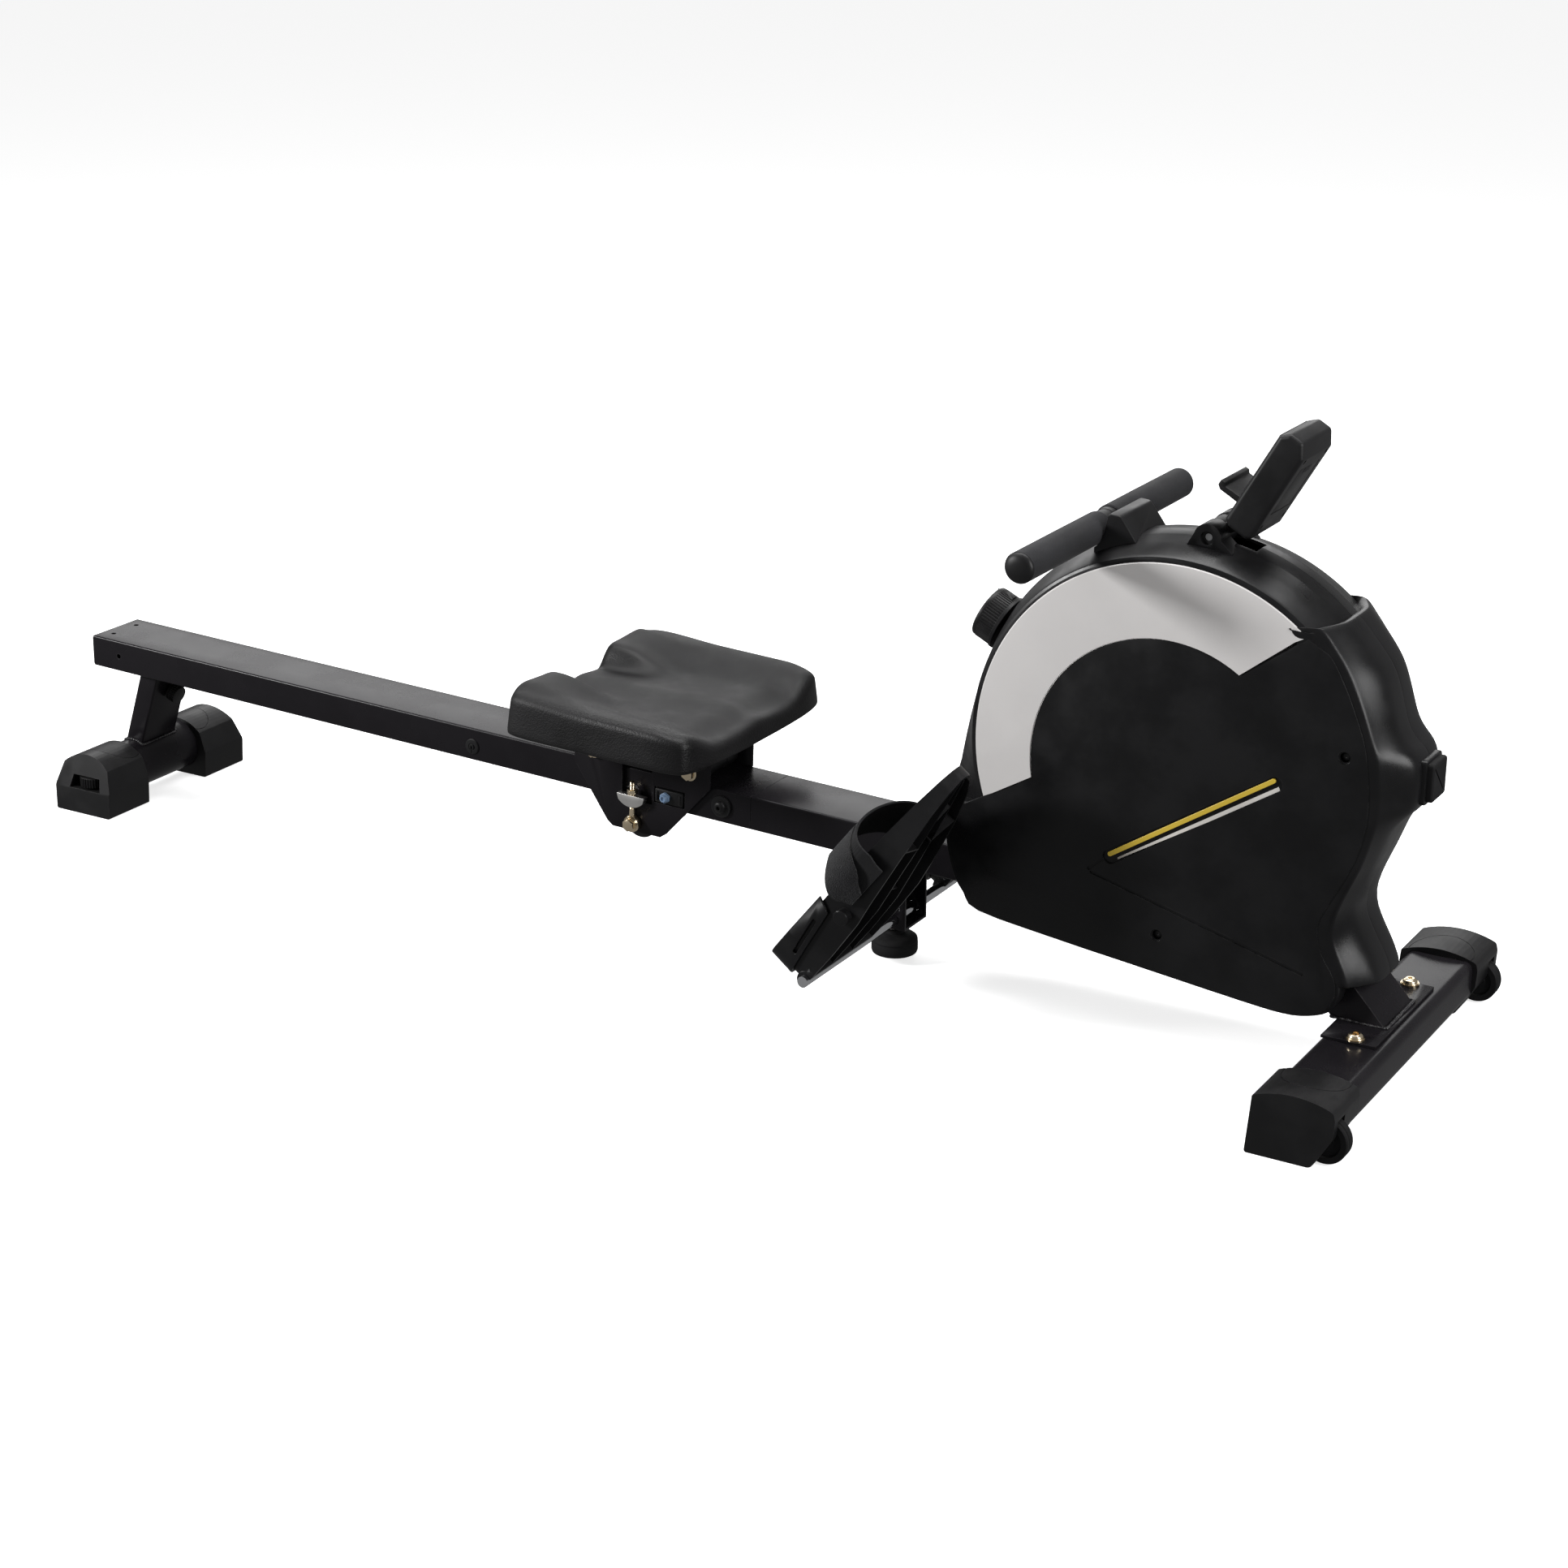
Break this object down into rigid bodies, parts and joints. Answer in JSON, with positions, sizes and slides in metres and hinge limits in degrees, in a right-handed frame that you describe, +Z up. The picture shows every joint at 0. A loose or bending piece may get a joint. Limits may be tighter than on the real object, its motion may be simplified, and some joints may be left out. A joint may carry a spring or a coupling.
{
  "type": "rowing machine",
  "caption": "Magnetic rowing machine with a sliding seat on a steel rail, strap-driven handle, tilting pedals, tilting console and housed flywheel.",
  "frame": {"origin": "on the floor, midway between the rear feet and the transport wheels, on the machine's centre plane", "axes": "+X from the seat to the flywheel, +Y to the rower's left, +Z up"},
  "size_m": [1.687, 0.46, 0.635],
  "materials": {
    "paint": "satin black powder coat",
    "plastic": "satin black moulded plastic",
    "rubber": "matt black",
    "foam": "matt black foam",
    "gloss_white": "gloss warm white",
    "zinc": "yellowish zinc plate",
    "chrome": "bright chrome",
    "steel": "turned steel",
    "webbing": "woven black webbing",
    "seat_skin": "grained polyurethane skin",
    "display": "smoked window"
  },
  "bodies": {
    "frame": {"rail": "paint", "front_beam": "paint", "front_stop_bolt": "plastic", "rear_leg": "paint", "rear_foot_right": "plastic", "rear_foot_left": "plastic", "front_stabiliser_tube": "paint", "front_foot_right": "plastic", "front_foot_left": "plastic", "front_post": "paint", "base_bolt_right": "zinc", "base_bolt_left": "zinc", "cover_right": "plastic", "cover_left": "plastic", "crescent_panel_right": "gloss_white", "crescent_panel_left": "gloss_white", "front_nose_cover": "plastic", "storage_bumper": "rubber", "inner_frame": "paint", "drive_belt": "rubber", "pull_strap": "webbing", "handle_cradle": "plastic", "console_mount": "plastic", "console_hinge_pin": "steel", "middle_bracket": "paint", "pedal_rod": "chrome"},
    "carriage": {"seat_bracket": "paint", "seat_cushion": "seat_skin", "lower_roller_axle": "zinc", "tension_eyebolt_right": "zinc", "tension_eyebolt_left": "zinc", "side_guide_right": "plastic", "side_guide_left": "plastic"},
    "rear_roller": {"upper_roller_rear": "plastic"},
    "front_roller": {"upper_roller_front": "plastic"},
    "under_roller": {"lower_roller": "plastic"},
    "handlebar": {"handle_bar": "plastic", "handle_grip_right": "foam", "handle_grip_left": "foam"},
    "reel": {"strap_reel": "plastic"},
    "drive_shaft": {"flywheel_axle": "steel"},
    "inertia_wheel": {"flywheel": "steel"},
    "tension_knob": {"resistance_knob": "plastic"},
    "magnet_carrier": {"magnet_arm": "steel"},
    "console": {"console_housing": "plastic", "console_display": "display", "battery_door": "plastic"},
    "button": {"console_button": "rubber"},
    "right_pedal": {"pedal_right": "plastic", "heel_cup_right": "plastic", "foot_strap_right": "webbing"},
    "left_pedal": {"pedal_left": "plastic", "heel_cup_left": "plastic", "foot_strap_left": "webbing"},
    "right_wheel": {"transport_wheel_right": "rubber"},
    "left_wheel": {"transport_wheel_left": "rubber"},
    "right_leveller": {"leveling_thumbwheel_right": "rubber"},
    "left_leveller": {"leveling_thumbwheel_left": "rubber"},
    "middle_foot": {"leveling_foot": "rubber"},
    "clamp_knob": {"rear_clamp_knob": "plastic"}
  },
  "joints": [
    {"name": "seat_travel", "type": "slide", "parent": "frame", "child": "carriage", "axis": [0.9995, 0, -0.0318], "range_m": [-0.62, 0]},
    {"name": "rear_roller_spin", "type": "hinge", "parent": "carriage", "child": "rear_roller", "pos_m": [-0.10447, 0, 0.18609], "axis": [0, 1, 0], "continuous": true},
    {"name": "front_roller_spin", "type": "hinge", "parent": "carriage", "child": "front_roller", "pos_m": [0.01947, 0, 0.18215], "axis": [0, 1, 0], "continuous": true},
    {"name": "under_roller_spin", "type": "hinge", "parent": "carriage", "child": "under_roller", "pos_m": [-0.05331, 0, 0.11132], "axis": [0, 1, 0], "continuous": true},
    {"name": "handle_pull", "type": "slide", "parent": "frame", "child": "handlebar", "axis": [-1, 0, 0], "range_m": [0, 1.05], "stiffness_N_per_m": 15, "springref_m": -0.4},
    {"name": "reel_turn", "type": "hinge", "parent": "frame", "child": "reel", "pos_m": [0.4485, 0, 0.32], "axis": [0, -1, 0], "range_deg": [0, 2100]},
    {"name": "drive_shaft_turn", "type": "hinge", "parent": "frame", "child": "drive_shaft", "pos_m": [0.5725, 0, 0.285], "axis": [0, -1, 0], "range_deg": [0, 9400]},
    {"name": "flywheel_spin", "type": "hinge", "parent": "frame", "child": "inertia_wheel", "pos_m": [0.5725, 0, 0.285], "axis": [0, -1, 0], "continuous": true},
    {"name": "resistance_turn", "type": "hinge", "parent": "frame", "child": "tension_knob", "pos_m": [0.37447, 0, 0.39351], "axis": [-0.8988, 0, 0.4384], "range_deg": [0, 270]},
    {"name": "magnet_lift", "type": "hinge", "parent": "frame", "child": "magnet_carrier", "pos_m": [0.66316, 0, 0.36663], "axis": [0, 1, 0], "range_deg": [0, 5]},
    {"name": "console_tilt", "type": "hinge", "parent": "frame", "child": "console", "pos_m": [0.5985, 0, 0.524], "axis": [0, 1, 0], "range_deg": [-20, 15]},
    {"name": "button_press", "type": "slide", "parent": "console", "child": "button", "axis": [0.866, 0, -0.5], "range_m": [0, 0.0015], "stiffness_N_per_m": 400},
    {"name": "right_pedal_tilt", "type": "hinge", "parent": "frame", "child": "right_pedal", "pos_m": [0.2595, 0, 0.055], "axis": [0, 1, 0], "range_deg": [-25, 0]},
    {"name": "left_pedal_tilt", "type": "hinge", "parent": "frame", "child": "left_pedal", "pos_m": [0.2595, 0, 0.055], "axis": [0, 1, 0], "range_deg": [-25, 0]},
    {"name": "right_wheel_spin", "type": "hinge", "parent": "frame", "child": "right_wheel", "pos_m": [0.8205, -0.212, 0.025], "axis": [0, 1, 0], "continuous": true},
    {"name": "left_wheel_spin", "type": "hinge", "parent": "frame", "child": "left_wheel", "pos_m": [0.8205, 0.212, 0.025], "axis": [0, 1, 0], "continuous": true},
    {"name": "right_leveller_turn", "type": "hinge", "parent": "frame", "child": "right_leveller", "pos_m": [-0.7965, -0.104, 0.039], "axis": [0, 0, 1], "range_deg": [-720, 720]},
    {"name": "left_leveller_turn", "type": "hinge", "parent": "frame", "child": "left_leveller", "pos_m": [-0.7965, 0.104, 0.039], "axis": [0, 0, 1], "range_deg": [-720, 720]},
    {"name": "middle_foot_turn", "type": "hinge", "parent": "frame", "child": "middle_foot", "pos_m": [0.2485, 0, 0.03], "axis": [0, 0, 1], "range_deg": [-720, 720]},
    {"name": "clamp_knob_turn", "type": "hinge", "parent": "frame", "child": "clamp_knob", "pos_m": [-0.7603, 0, 0.1296], "axis": [0.9429, 0, -0.333], "range_deg": [0, 720]}
  ],
  "couplings": [
    {"joint": "rear_roller_spin", "follows": "seat_travel", "rad_per_m": 80.645},
    {"joint": "front_roller_spin", "follows": "seat_travel", "rad_per_m": 80.645},
    {"joint": "under_roller_spin", "follows": "seat_travel", "rad_per_m": -45.455},
    {"joint": "reel_turn", "follows": "handle_pull", "rad_per_m": 34.483},
    {"joint": "drive_shaft_turn", "follows": "handle_pull", "rad_per_m": 152.71},
    {"joint": "magnet_lift", "follows": "resistance_turn", "ratio": 0.018519}
  ]
}
